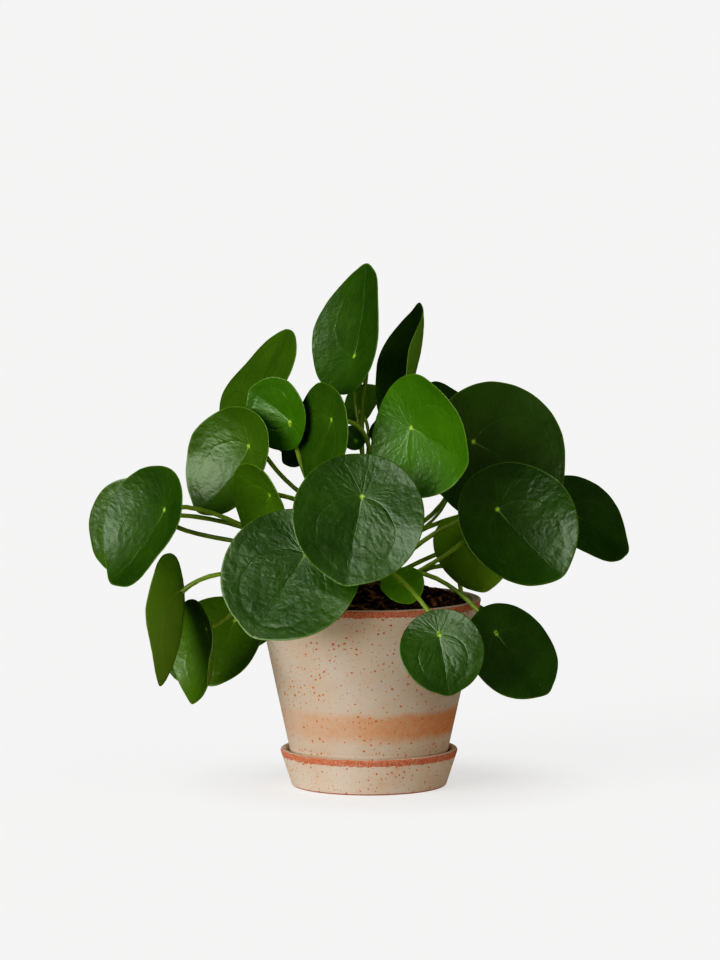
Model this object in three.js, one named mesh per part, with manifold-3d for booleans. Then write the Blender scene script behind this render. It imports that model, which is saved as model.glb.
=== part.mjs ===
// A pilea with round shield-shaped leaves, in a round clay pot that stands in a clay saucer.
// Millimetres, +Z up, +Y away from the front. The origin is the centre of the saucer's underside,
// which is the flat face the whole thing stands on.
import * as THREE from "three";
import { mergeVertices } from "three/addons/utils/BufferGeometryUtils.js";
import Module from "manifold-3d";

const wasm = await Module();
wasm.setup();

// ---- driving dimensions -------------------------------------------------------------------
const gap = 0.3; // clearance kept between pieces that touch
const roundSides = 48; // sides of the pot, the saucer and the soil

const saucer = {
  rimRadius: 55.7,
  baseRadius: 48.2,
  height: 23.2,
  floor: 5,
  wall: 4,
  edge: 1.6, // roundness of the rim and of the bottom edge
};
const pot = {
  rimRadius: 70,
  baseRadius: 45.7,
  height: 112.1,
  wall: 5,
  floor: 7,
  drainRadius: 7.5,
  edge: 1.2,
};
const soil = {
  belowRim: 3.6, // from the pot's rim down to the soil at the wall
  heap: 12, // how much higher it is heaped round the stem
  lump: 0.9, // height of the crumbs on its surface
  wellRadius: 5.4, // the plain hole that the stem stands in
  wellFloor: 70,
};
const stemRadius = 4.8;
const stalkRadius = 1.6;
const bladeThickness = 0.8;
const tipLength = 0.05; // how far the pointed tip stands out, as a share of the blade's radius
const tipWidth = 0.22; // its width in radians round the blade
const bladeLength = 1.04; // length of the round blade against its width
const ripple = { height: 0.014, waves: 5 }; // the slightly waved edge, as a share of the radius
const stalkClearance = 1.2; // from the blade's mid-surface to the end of its stalk

const potBottom = saucer.floor + gap;
const potTop = potBottom + pot.height;
const soilTop = potTop - soil.belowRim;
const potSlope = (pot.rimRadius - pot.baseRadius) / pot.height;

// ---- colours ------------------------------------------------------------------------------
const finish = (color, roughness) => new THREE.MeshStandardMaterial({ color, roughness, metalness: 0 });
const leafGreen = finish(0x2f5a1c, 0.38);
const youngGreen = finish(0x4f8a16, 0.4);
const stalkGreen = finish(0x6d7f24, 0.5);
const soilBrown = finish(0x2b1d14, 0.95);
const clay = finish(0xcdbda8, 0.85);

// ---- pot, saucer and soil, turned round the Z axis -------------------------------------------
function turned(name, outline, material) {
  const points = outline.map(([radius, z]) => new THREE.Vector2(radius, z));
  const geometry = new THREE.LatheGeometry(points, roundSides);
  geometry.rotateX(Math.PI / 2);
  const mesh = new THREE.Mesh(geometry, material);
  mesh.name = name;
  return mesh;
}

function saucerMesh() {
  const { rimRadius, baseRadius, height, floor, wall, edge } = saucer;
  return turned(
    "saucer",
    [
      [0, 0],
      [baseRadius - edge, 0],
      [baseRadius - edge * 0.3, edge * 0.35],
      [baseRadius + edge * 0.3, edge * 1.2],
      [rimRadius - edge * 0.1, height - edge * 0.8],
      [rimRadius - edge * 0.6, height],
      [rimRadius - wall + edge * 0.6, height],
      [rimRadius - wall, height - edge * 0.6],
      [baseRadius - edge + 0.4, floor + edge],
      [baseRadius - edge - 0.6, floor],
      [0, floor],
    ],
    clay,
  );
}

function potMesh() {
  const { rimRadius, baseRadius, wall, floor, drainRadius, edge } = pot;
  const innerBase = baseRadius - wall + potSlope * floor;
  const outline = [
    [drainRadius, potBottom],
    [baseRadius - edge, potBottom],
    [baseRadius + potSlope * edge, potBottom + edge],
    [rimRadius - potSlope * edge, potTop - edge],
    [rimRadius - edge * 0.7, potTop],
    [rimRadius - wall + edge * 0.7, potTop],
    [rimRadius - wall - potSlope * edge, potTop - edge],
    [innerBase, potBottom + floor],
    [drainRadius, potBottom + floor],
    [drainRadius, potBottom],
  ];
  return turned("pot", outline, clay);
}

function soilMesh() {
  const bottom = potBottom + pot.floor + gap;
  const wallAt = (z) => pot.rimRadius - pot.wall - gap - 0.2 - potSlope * (potTop - z);
  const outline = [
    [0, bottom],
    [wallAt(bottom), bottom],
    [wallAt(soilTop - 1), soilTop - 1],
    [wallAt(soilTop) - 1.5, soilTop],
    [54, soilTop + soil.heap * 0.26],
    [44, soilTop + soil.heap * 0.5],
    [34, soilTop + soil.heap * 0.7],
    [24, soilTop + soil.heap * 0.86],
    [15, soilTop + soil.heap],
    [soil.wellRadius, soilTop + soil.heap],
    [soil.wellRadius, soil.wellFloor],
    [0, soil.wellFloor],
  ];
  const mesh = turned("soil", outline, soilBrown);
  const place = mesh.geometry.getAttribute("position");
  for (let i = 0; i < place.count; i += 1) {
    const [x, y, z] = [place.getX(i), place.getY(i), place.getZ(i)];
    const radius = Math.hypot(x, y);
    if (z > soilTop && radius > 12) {
      const crumbs = Math.sin(0.31 * x + 1.3) * Math.cos(0.37 * y) + 0.5 * Math.sin(0.9 * x - 0.8 * y);
      place.setZ(i, z + soil.lump * crumbs);
    }
  }
  // the low stalks come up through the soil, each in its own close hole
  const holes = stemBody(stemRadius + gap, stalkRadius + gap);
  mesh.geometry = geometryOf(solidOf(mesh.geometry).subtract(holes));
  return mesh;
}

// ---- leaves ---------------------------------------------------------------------------------
// hub: where the stalk meets the blade. size: the blade's radius.
// turn: [heading, pitch, roll] in degrees, from a flat blade with its tip towards +Y.
// bend: [across, along, twist] in degrees per radius, where a plus bends the edges down like a dome.
// share: how far the round blade's centre lies in front of the hub, as a share of its radius.
// stalk: [height on the stem, rise in degrees, lead out of the stem, reach below the blade,
//         lift above it, swing to the side in degrees].
const leaf = (place, hub, size, turn, bend, share, stalk) => ({
  name: "leaf_" + place,
  hub: new THREE.Vector3(...hub),
  size,
  turn: turn.map(THREE.MathUtils.degToRad),
  bend: bend.map(THREE.MathUtils.degToRad),
  share,
  stalk,
});

const leaves = [
  // the crown
  leaf("crown_tall", [-9, 5, 268], 40, [-44, 67, -13], [-27, -12, 7], 0.39, [190, 53, 75, 20, -2, -42]),
  leaf("crown_left", [-72, 45, 241], 35, [-37, 44, -18], [-4, -8, 6], 0.35, [160, 48, 47, 27, 0, -7]),
  leaf("young_left", [-49, 4, 227], 23.5, [47, 38, -94], [-14, -24, -9], 0.37, [141, 33, 58, 3, -4, -12]),
  leaf("crown_narrow", [-23, -25, 231], 32, [22, -60, -95], [-11, -12, -5], 0.35, [164, 80, 14, 40, 0, -5]),
  leaf("crown_folded", [25, 18, 247], 38.5, [-51, 60, -25], [-45, -22, -1], 0.36, [175, 32, 68, 18, 0, -16]),
  leaf("bud_back", [-6, 50, 230], 14, [-87, 49, -50], [-25, -8, 0], 0.3, [188, 69, 17, 19, 0, -7]),
  leaf("bud_right", [11, 22, 216], 15, [-61, 10, 41], [-10, 0, 0], 0.33, [157, 42, 18, 28, 0, 7]),
  leaf("bud_front", [-8, 4, 215], 8, [37, 49, -50], [-30, -5, 0], 0.3, [147, 49, 17, 33, -1, -35]),
  // the right side
  leaf("right_bright", [26, -38, 227], 40, [-132, -19, 84], [-39, -10, -5], 0.35, [176, 58, 28, 21, 0, -2]),
  leaf("right_large", [65, 12, 214], 44.5, [-68, -29, 85], [-3, -13, -2], 0.36, [147, 15, 90, 37, -1, 25]),
  leaf("right_cupped", [79, -32, 176], 40.5, [-79, -51, 75], [-42, -21, 2], 0.37, [120, 53, 54, 36, 0, 0]),
  leaf("right_far", [127, 35, 167], 32, [-72, -33, 47], [-12, 1, 4], 0.35, [138, 33, 67, 36, 24, 29]),
  leaf("right_hidden", [47, 44, 231], 19, [-25, 19, 42], [0, 5, 0], 0.35, [163, 46, 46, 26, 0, 22]),
  leaf("right_inner", [50, 22, 179], 16, [-102, -47, 11], [-20, 0, 0], 0.36, [145, 14, 49, 6, -3, 7]),
  leaf("right_under", [59, 0, 153], 25.5, [-66, -68, -38], [-11, -3, -1], 0.35, [114, 41, 20, 32, 0, -22]),
  // the left side
  leaf("left_glossy", [-75, 15, 211], 37.5, [45, -63, -86], [-44, -34, -3], 0.37, [160, 16, 87, 22, -2, -22]),
  leaf("left_small", [-61, -42, 186], 28.5, [12, -34, -114], [-22, -22, -5], 0.36, [144, 41, 59, 7, -2, 5]),
  leaf("left_inner", [-37, 25, 212], 15, [83, -41, -45], [-10, -5, 0], 0.33, [154, 39, 35, 24, 0, -30]),
  leaf("left_outer", [-126, -34, 176], 40, [51, -62, -70], [-39, -21, -4], 0.39, [117, 29, 72, 26, 12, -29]),
  leaf("left_far", [-140, 8, 167], 30, [72, -34, -74], [-19, 8, -4], 0.35, [118, 38, 81, 38, 10, -5]),
  // the front
  leaf("front_high", [-4.5, -84, 189], 40.4, [157, -64, -22], [-12, 0, 2], 0.35, [150, 50, 40, 20, 0, 0]),
  leaf("front_large", [-39, -76, 153], 42.5, [124, -52, -44], [-10, -4, -2], 0.39, [133, 42, 38, 24, 2, 2]),
  leaf("front_young", [19, -50, 133], 14, [-152, -39, 30], [-31, 0, 6], 0.32, [113, 42, 22, 22, 0, 3]),
  // leaves that hang past the rim
  leaf("low_front", [42.5, -88, 105], 25.7, [-159, -66, 21], [-2, 6, 11], 0.4, [128, 28, 75, 16, 18, -28]),
  leaf("low_right", [78, -52, 101], 31.5, [-95, -53, 46], [4, -7, 2], 0.46, [123, 40, 53, 14, 17, -6]),
  leaf("low_left_edge", [-116, -41, 126], 40.5, [-153, -72, 130], [-32, -26, 5], 0.42, [115, 15, 79, 24, 14, -14]),
  leaf("low_left_cupped", [-101, -10, 99], 33.5, [-58, -74, -176], [-43, -35, -4], 0.41, [114, 33, 75, 34, 0, -12]),
  leaf("low_left_wide", [-85, 58, 95.5], 34.5, [153, -42, 0], [-36, 12, 2], 0.36, [122, 46, 70, 26, 4, -45]),
  leaf("low_left_back", [-106, 88, 86], 25, [112, -68, -25], [-15, -10, 0], 0.38, [120, 32, 72, 18, 34, -8]),
  // the back
  leaf("back_middle", [-6, 82, 172], 37, [-10, -55, -6], [-12, -6, 0], 0.36, [146, 47, 39, 23, 0, 1]),
  leaf("back_high", [30, 63, 221], 29, [-27, -40, -6], [-15, -8, 0], 0.36, [167, 54, 35, 18, 0, 0]),
  leaf("back_left", [-74, 70, 218], 26, [58, -44, 13], [-18, -8, 0], 0.36, [159, 49, 39, 17, 4, 3]),
  leaf("back_low_left", [-41, 89, 145], 27, [37, -68, 17], [-14, -8, 0], 0.36, [128, 44, 43, 20, 5, 4]),
  leaf("back_right", [86, 64, 155], 25, [-61, -54, -19], [-16, -8, 0], 0.36, [124, 20, 69, 18, 4, 5]),
  leaf("back_hanging_right", [60, 68, 92], 27, [-45, -66, -14], [-14, -10, 0], 0.36, [112, 36, 92, 10, 20, -29]),
  leaf("back_hanging_left", [-68, 102, 99], 24.5, [46, -69, 9], [-14, -10, 0], 0.36, [118, 45, 42, 13, 8, -1]),
  leaf("back_crown", [-13, 32, 262], 19, [-6, -17, -19], [-20, -8, 0], 0.36, [188, 72, 24, 12, 0, 0]),
  leaf("back_far_left", [-136, 42, 170], 21, [76, -32, 20], [-16, -8, 0], 0.36, [124, 31, 68, 33, 0, -1]),
  leaf("back_high_right", [80, 74, 215.5], 29, [-66, -43, -15], [-14, -8, 0], 0.36, [159, 46, 44, 21, 2, -2]),
  leaf("back_far_right", [125, 76, 175], 20, [-78, -35, -21], [-14, -8, 0], 0.36, [156, 73, 65, 26, 24, 9]),
  leaf("back_hanging_middle", [-20, 100, 108], 28, [1, -66, -5], [-12, -8, 0], 0.36, [119, 44, 43, 13, 8, 2]),
];
const young = ["leaf_young_left", "leaf_right_bright", "leaf_front_young", "leaf_bud_back", "leaf_bud_front"];

// A point of the blade's mid-surface, in the leaf's own frame: share runs from 0 at the hub to 1 at
// the edge, and angle is 0 at the tip. The flat outline is bent along a cylinder across, twisted,
// and bent along a second cylinder from hub to tip.
function bladePoint(item, share, angle) {
  const turn = Math.atan2(Math.sin(angle), Math.cos(angle));
  const reach = 1 + tipLength * Math.exp(-((turn / tipWidth) ** 2));
  const flatX = share * reach * Math.sin(angle);
  const flatY = share * (item.share + reach * Math.cos(angle) * bladeLength);
  const [across, along, twist] = item.bend.map((value) => value || 1e-3);
  let x = Math.sin(across * flatX) / across;
  let z = -(1 - Math.cos(across * flatX)) / across;
  z += ripple.height * share ** 3 * Math.sin(ripple.waves * angle + item.size);
  const tilt = twist * flatY;
  [x, z] = [x * Math.cos(tilt) - z * Math.sin(tilt), x * Math.sin(tilt) + z * Math.cos(tilt)];
  const y = Math.sin(along * flatY) / along + z * Math.sin(along * flatY);
  z = -(1 - Math.cos(along * flatY)) / along + z * Math.cos(along * flatY);
  return new THREE.Vector3(x, y, z).multiplyScalar(item.size);
}

function bladeNormal(item, share, angle) {
  const step = 1e-3;
  const ringShare = Math.max(share, 0.02);
  const outward = bladePoint(item, ringShare + step, angle).sub(bladePoint(item, ringShare - step, angle));
  const around = bladePoint(item, ringShare, angle + step).sub(bladePoint(item, ringShare, angle - step));
  return around.cross(outward).normalize();
}

// Both faces have the same rings and the same split into triangles, so they can't cross.
function bladeMesh(item) {
  const large = item.size > 22;
  const sides = large ? 18 : 14;
  const rings = large ? [0.4, 0.75, 1] : [0.55, 1];
  const vertices = [];
  const faces = [];
  const faceSize = 1 + rings.length * sides;
  for (const side of [1, -1]) {
    const offset = (side * bladeThickness) / 2;
    vertices.push(new THREE.Vector3(0, 0, offset));
    for (const share of rings) {
      for (let i = 0; i < sides; i += 1) {
        const angle = (2 * Math.PI * i) / sides;
        const point = bladePoint(item, share, angle);
        vertices.push(point.addScaledVector(bladeNormal(item, share, angle), offset));
      }
    }
  }
  const at = (side, ring, i) => side * faceSize + 1 + ring * sides + (i % sides);
  for (let i = 0; i < sides; i += 1) {
    faces.push([0, at(0, 0, i + 1), at(0, 0, i)]);
    faces.push([faceSize, at(1, 0, i), at(1, 0, i + 1)]);
    for (let ring = 0; ring < rings.length - 1; ring += 1) {
      faces.push([at(0, ring, i), at(0, ring, i + 1), at(0, ring + 1, i + 1)]);
      faces.push([at(0, ring, i), at(0, ring + 1, i + 1), at(0, ring + 1, i)]);
      faces.push([at(1, ring, i), at(1, ring + 1, i + 1), at(1, ring, i + 1)]);
      faces.push([at(1, ring, i), at(1, ring + 1, i), at(1, ring + 1, i + 1)]);
    }
    const edge = rings.length - 1;
    faces.push([at(0, edge, i), at(0, edge, i + 1), at(1, edge, i + 1)]);
    faces.push([at(0, edge, i), at(1, edge, i + 1), at(1, edge, i)]);
  }
  const geometry = new THREE.BufferGeometry();
  const flat = vertices.flatMap((point) => point.toArray());
  geometry.setAttribute("position", new THREE.Float32BufferAttribute(flat, 3));
  geometry.setIndex(faces.flat());
  geometry.computeVertexNormals();
  const mesh = new THREE.Mesh(geometry, young.includes(item.name) ? youngGreen : leafGreen);
  mesh.name = item.name;
  mesh.position.copy(item.hub);
  mesh.rotation.set(item.turn[1], item.turn[2], item.turn[0], "ZXY");
  return mesh;
}

// ---- stem and leaf stalks, one body -----------------------------------------------------------
const stemPoints = [
  [0, 0, soil.wellFloor + gap],
  [0, 0, 108],
  [2, 1, 122],
  [2, 1, 150],
  [-2, 0, 176],
  [-3, 0, 192],
].map((point) => new THREE.Vector3(...point));

function stemAt(height) {
  const above = stemPoints.findIndex((point) => point.z >= height);
  const [low, high] = [stemPoints[above - 1], stemPoints[above]];
  return low.clone().lerp(high, (height - low.z) / (high.z - low.z));
}

function stalkCurve(item) {
  const [height, rise, lead, reach, lift, swing] = item.stalk;
  const start = stemAt(height);
  const heading = Math.atan2(item.hub.y - start.y, item.hub.x - start.x) + THREE.MathUtils.degToRad(swing);
  const slope = THREE.MathUtils.degToRad(rise);
  const away = new THREE.Vector3(
    Math.cos(slope) * Math.cos(heading),
    Math.cos(slope) * Math.sin(heading),
    Math.sin(slope),
  );
  const turn = new THREE.Euler(item.turn[1], item.turn[2], item.turn[0], "ZXY");
  const upper = new THREE.Vector3(0, 0, 1).applyEuler(turn);
  const approach = upper.clone().multiplyScalar(-reach).add(new THREE.Vector3(0, 0, lift));
  const slant = Math.sin(approach.angleTo(upper.clone().negate()));
  const end = item.hub.clone().addScaledVector(upper, -stalkClearance - stalkRadius * slant);
  return new THREE.CubicBezierCurve3(
    start,
    start.clone().addScaledVector(away, lead),
    item.hub.clone().add(approach),
    end,
  );
}

function tube(curve, radius, sides, steps) {
  const section = new THREE.Shape();
  for (let i = 0; i < sides; i += 1) {
    const angle = (2 * Math.PI * i) / sides;
    const place = [radius * Math.cos(angle), radius * Math.sin(angle)];
    if (i === 0) section.moveTo(...place);
    else section.lineTo(...place);
  }
  section.closePath();
  return new THREE.ExtrudeGeometry(section, { steps, extrudePath: curve, bevelEnabled: false });
}

function solidOf(geometry) {
  const bare = geometry.clone();
  bare.deleteAttribute("normal");
  bare.deleteAttribute("uv");
  const merged = mergeVertices(bare, 1e-4);
  return new wasm.Manifold(
    new wasm.Mesh({
      numProp: 3,
      vertProperties: merged.getAttribute("position").array,
      triVerts: new Uint32Array(merged.index.array),
    }),
  );
}

function geometryOf(body) {
  const made = body.getMesh();
  const geometry = new THREE.BufferGeometry();
  geometry.setAttribute("position", new THREE.BufferAttribute(made.vertProperties, 3));
  geometry.setIndex(new THREE.BufferAttribute(made.triVerts, 1));
  geometry.computeVertexNormals();
  return geometry;
}

function stemBody(thickStem, thickStalk) {
  const stemPath = new THREE.CatmullRomCurve3(stemPoints);
  let body = solidOf(tube(stemPath, thickStem, 9, 14));
  for (const item of leaves) {
    body = body.add(solidOf(tube(stalkCurve(item), thickStalk, 6, 7)));
  }
  return body;
}

function stemMesh() {
  const mesh = new THREE.Mesh(geometryOf(stemBody(stemRadius, stalkRadius)), stalkGreen);
  mesh.name = "stem_and_leaf_stalks";
  return mesh;
}

const plant = new THREE.Group();
plant.add(saucerMesh(), potMesh(), soilMesh(), stemMesh());
for (const item of leaves) {
  plant.add(bladeMesh(item));
}

export default plant;
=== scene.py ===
import math

import bpy
from mathutils import Euler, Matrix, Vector


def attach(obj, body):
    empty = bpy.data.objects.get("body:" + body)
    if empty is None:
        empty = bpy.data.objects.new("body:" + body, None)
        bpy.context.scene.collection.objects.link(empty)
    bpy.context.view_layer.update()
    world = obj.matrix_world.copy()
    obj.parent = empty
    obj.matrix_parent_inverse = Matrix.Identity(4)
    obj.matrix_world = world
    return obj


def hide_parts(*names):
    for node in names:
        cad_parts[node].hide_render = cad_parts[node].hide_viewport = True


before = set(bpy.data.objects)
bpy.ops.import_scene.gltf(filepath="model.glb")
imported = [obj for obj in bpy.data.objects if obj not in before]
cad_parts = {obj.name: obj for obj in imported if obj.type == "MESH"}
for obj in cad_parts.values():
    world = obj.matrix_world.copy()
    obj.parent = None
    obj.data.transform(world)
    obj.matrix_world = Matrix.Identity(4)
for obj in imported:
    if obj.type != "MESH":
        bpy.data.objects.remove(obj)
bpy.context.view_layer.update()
mm = 0.001
samePoint = 2e-6  # metres, points closer than this are merged


# sRGB hex to the linear colour that the shaders want
def toLinear(hexColour):
    parts = [int(hexColour[i:i + 2], 16) / 255 for i in (1, 3, 5)]
    return [c / 12.92 if c <= 0.04045 else ((c + 0.055) / 1.055) ** 2.4 for c in parts] + [1]


# the socket that a Value or a node stands for; a node stands for its first live output
def socketOf(source):
    if isinstance(source, Value):
        return source.socket
    if isinstance(source, bpy.types.Node):
        return next(s for s in source.outputs if s.enabled)
    return source


# adds a node with its settings; an input takes a number, a hex colour, a Value, a node or a socket
def addNode(tree, kind, inputs=None, **settings):
    node = tree.nodes.new(kind)
    for name, setting in settings.items():
        setattr(node, name, setting)
    live = [socket for socket in node.inputs if socket.enabled]
    for key, given in (inputs or {}).items():
        socket = live[key] if isinstance(key, int) else next(s for s in live if s.name == key)
        if isinstance(given, str) and given.startswith("#"):
            given = toLinear(given)
        source = socketOf(given)
        if isinstance(source, bpy.types.NodeSocket):
            tree.links.new(source, socket)
        else:
            socket.default_value = source
    return node


# one math node, in the tree of the first operand that is a Value
def calculate(operation, *operands):
    tree = next(o for o in operands if isinstance(o, Value)).socket.id_data
    return Value(addNode(tree, "ShaderNodeMath", dict(enumerate(operands)), operation=operation))


# a value inside a node tree; arithmetic on it adds the math nodes that do the arithmetic
class Value:
    def __init__(self, source):
        self.socket = socketOf(source)

    def __add__(self, other):
        return calculate("ADD", self, other)

    def __sub__(self, other):
        return calculate("SUBTRACT", self, other)

    def __rsub__(self, other):
        return calculate("SUBTRACT", other, self)

    def __mul__(self, other):
        return calculate("MULTIPLY", self, other)

    def __truediv__(self, other):
        return calculate("DIVIDE", self, other)

    def __lt__(self, other):
        return calculate("LESS_THAN", self, other)

    def __gt__(self, other):
        return calculate("GREATER_THAN", self, other)


def lesser(first, second):
    return calculate("MINIMUM", first, second)


def greater(first, second):
    return calculate("MAXIMUM", first, second)


def clamp(value, low=0, high=1):
    return lesser(greater(value, low), high)


def magnitude(value):
    return calculate("ABSOLUTE", value)


def sineCosine(angle):
    return calculate("SINE", angle), calculate("COSINE", angle)


# 1 at zero, falling off alike on both sides
def bell(value):
    return calculate("EXPONENT", value * value * -1)


def vectorMath(tree, operation, *operands):
    return addNode(tree, "ShaderNodeVectorMath", dict(enumerate(operands)), operation=operation)


def combine(tree, x=0.0, y=0.0, z=0.0):
    return addNode(tree, "ShaderNodeCombineXYZ", {0: x, 1: y, 2: z})


def split(tree, vector):
    return [Value(part) for part in addNode(tree, "ShaderNodeSeparateXYZ", {0: vector}).outputs]


def addNoise(tree, place, scale, detail, output="Fac", roughness=0.5):
    return Value(addNode(tree, "ShaderNodeTexNoise", {
        "Vector": place, "Scale": scale, "Detail": detail, "Roughness": roughness}).outputs[output])


# how far it is to the nearest of some scattered points, without creases in between
def addCushions(tree, place, scale, smoothness):
    return Value(addNode(tree, "ShaderNodeTexVoronoi", {
        "Vector": place, "Scale": scale, "Smoothness": smoothness}, feature="SMOOTH_F1"))


def blend(tree, factor, first, second):
    return addNode(tree, "ShaderNodeMix", {
        "Factor": factor, "A": first, "B": second}, data_type="RGBA")


def store(tree, geometry, name, value, kind="FLOAT_VECTOR", domain="POINT"):
    return addNode(tree, "GeometryNodeStoreNamedAttribute", {
        "Geometry": geometry, "Name": name, "Value": value}, data_type=kind, domain=domain)


def joinGeometry(tree, *pieces):
    joined = tree.nodes.new("GeometryNodeJoinGeometry")
    for piece in pieces:
        tree.links.new(piece.outputs[0], joined.inputs[0])
    return joined


def shift(tree, geometry, offset):
    return addNode(tree, "GeometryNodeSetPosition", {"Geometry": geometry, "Offset": offset})


# a flat grid to be drawn round into a disc, with x and y from -0.5 to 0.5
def addGrid(tree, columns, rows):
    grid = addNode(tree, "GeometryNodeMeshGrid", {
        "Size X": 1.0, "Size Y": 1.0, "Vertices X": columns, "Vertices Y": rows})
    x, y = split(tree, addNode(tree, "GeometryNodeInputPosition"))[:2]
    return grid, x, y


# moves the grid's points and closes its seams
def drawRound(tree, grid, place):
    moved = addNode(tree, "GeometryNodeSetPosition", {"Geometry": grid, "Position": place})
    return addNode(tree, "GeometryNodeMergeByDistance", {"Geometry": moved, "Distance": samePoint})


# a node tree with named inputs; inputs is {name: kind}
def startTree(name, inputs):
    tree = bpy.data.node_groups.new(name, "GeometryNodeTree")
    tree.interface.new_socket(name="geometry", in_out="OUTPUT", socket_type="NodeSocketGeometry")
    for label, kind in inputs.items():
        tree.interface.new_socket(name=label, in_out="INPUT", socket_type="NodeSocket" + kind)
    given = {s.name: Value(s) for s in tree.nodes.new("NodeGroupInput").outputs if s.name}
    return tree, given


# every tree ends the same way: real faces, one material
def endTree(tree, geometry, material):
    solid = addNode(tree, "GeometryNodeRealizeInstances", {0: geometry})
    smooth = addNode(tree, "GeometryNodeSetShadeSmooth", {"Geometry": solid})
    dressed = addNode(tree, "GeometryNodeSetMaterial", {"Geometry": smooth, "Material": material})
    addNode(tree, "NodeGroupOutput", {0: dressed})


def addObject(name, data):
    added = bpy.data.objects.new(name, data)
    bpy.context.scene.collection.objects.link(added)
    return added


def placePiece(name, mesh, replaced):
    piece = addObject(name, mesh)
    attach(piece, "root")
    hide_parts(replaced)


# runs a tree on a source and keeps the result as a plain mesh, riding on the one body
def growPiece(name, tree, values, source, replaced):
    carrier = addObject(name + "_source", source)
    modifier = carrier.modifiers.new("grow", "NODES")
    modifier.node_group = tree
    for item in tree.interface.items_tree:
        if item.in_out == "INPUT" and item.name in values:
            modifier[item.identifier] = values[item.name]
    evaluated = carrier.evaluated_get(bpy.context.evaluated_depsgraph_get())
    mesh = bpy.data.meshes.new_from_object(evaluated)
    carrier.modifiers.clear()
    bpy.data.objects.remove(carrier)
    placePiece(name, mesh, replaced)


# the emptied node tree of a material or of the world
def emptyTree(owner):
    owner.use_nodes = True
    owner.node_tree.nodes.clear()
    return owner.node_tree


# what store has kept on a mesh, for its material
def readFacts(tree, name, output="Vector"):
    return addNode(tree, "ShaderNodeAttribute", attribute_name=name).outputs[output]


# a material whose principled shader takes the constants itself
def startMaterial(name, constants):
    material = bpy.data.materials.new(name)
    tree = emptyTree(material)
    shader = addNode(tree, "ShaderNodeBsdfPrincipled", constants)
    addNode(tree, "ShaderNodeOutputMaterial", {"Surface": shader})
    return material, tree, shader


# wires a material's colour, its bump with heights in mm, and its roughness where that varies
def dress(tree, shader, colour, high, rough=None):
    bump = addNode(tree, "ShaderNodeBump", {"Distance": mm, "Height": high})
    for name, source in (("Base Color", colour), ("Normal", bump), ("Roughness", rough)):
        if source is not None:
            tree.links.new(socketOf(source), shader.inputs[name])


# ---- camera: far off with a long lens, looking a little down ----
view = {
    "place": (-5.7, -3400.0, 521.2),  # mm
    "downwards": 5.545,  # degrees
    "lens": 205.8,  # mm, on a 36 mm long side
}
cameraData = bpy.data.cameras.new("camera")
cameraData.lens = view["lens"]
cameraData.clip_end = 100
camera = addObject("camera", cameraData)
camera.location = Vector(view["place"]) * mm
camera.rotation_euler = (math.radians(90 - view["downwards"]), 0, 0)
bpy.context.scene.camera = camera
print("camera set")

# ---- leaf blades ----
leafShape = {
    "rings": 46,
    "sides": 180,
    "smallSize": 22,  # mm, blades below this radius need fewer rings and sides
    "smallRings": 30,
    "smallSides": 110,
    "thickness": 0.8,  # mm
    "tipLength": 0.05,
    "tipWidth": 0.22,
    "length": 1.04,
    "ripple": 0.014,
    "rippleWaves": 5,
    "notch": 0.03,  # unevenness of the edge, as a share of the radius
    "notchScale": 1.9,
    "roundRim": 0.975,  # the rim is rounded outside this share of the blade
    "veinAcross": 0.6,  # the side veins run on an ellipse through the hub, in radii
    "veinAhead": 0.62,
    "backVeins": (112, 146, 180),  # degrees from the tip
    "valley": 0.16,  # mm, the broad valley that a vein lies in
    "valleyWidth": 1.7,
    "crease": 2.2,  # mm, how far the two halves rise from the midrib
    "creaseWidth": 11.0,
    "creaseSharp": 1.0,  # mm, the crease's rounding at the hub
    "creaseBlunt": 4.0,  # and what is added to it at the tip
    "quilt": 0.16,  # mm, height of the cushions between the small veins
    "quiltSize": 5.2,
    "fold": 0.36,  # mm, height of the folds that run out from the hub
    "foldsAround": 4.4,  # how many of them in a radian
    "foldLength": 9.0,
    "calm": 7.0,  # mm round the hub that have hardly any quilt or folds
}


# how far a point of the flat blade is, in radii, from the midrib's line, the midrib, the two curved
# side veins, and the small veins behind the hub
def veinsAt(u, v):
    s = leafShape
    midrib = magnitude(u)
    ellipseU = u / s["veinAcross"]
    ellipseV = v * (1 / s["veinAhead"]) - 1
    ellipse = calculate("SQRT", ellipseV * ellipseV + ellipseU * ellipseU)
    sideVein = magnitude(ellipse - 1) * s["veinAcross"]
    fans = []
    for angle in (math.radians(a) for a in s["backVeins"]):
        fans.append(magnitude(midrib * math.cos(angle) + v * -math.sin(angle)))
    nearest = lesser(lesser(fans[0], fans[1]), fans[2])
    # the small veins exist only behind the hub, and the midrib only ahead of it
    fan = nearest + greater(v * 8 + 0.5, 0)
    mainVein = midrib + greater(v * -8 + 0.1, 0)
    return midrib, mainVein, sideVein, fan


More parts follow.
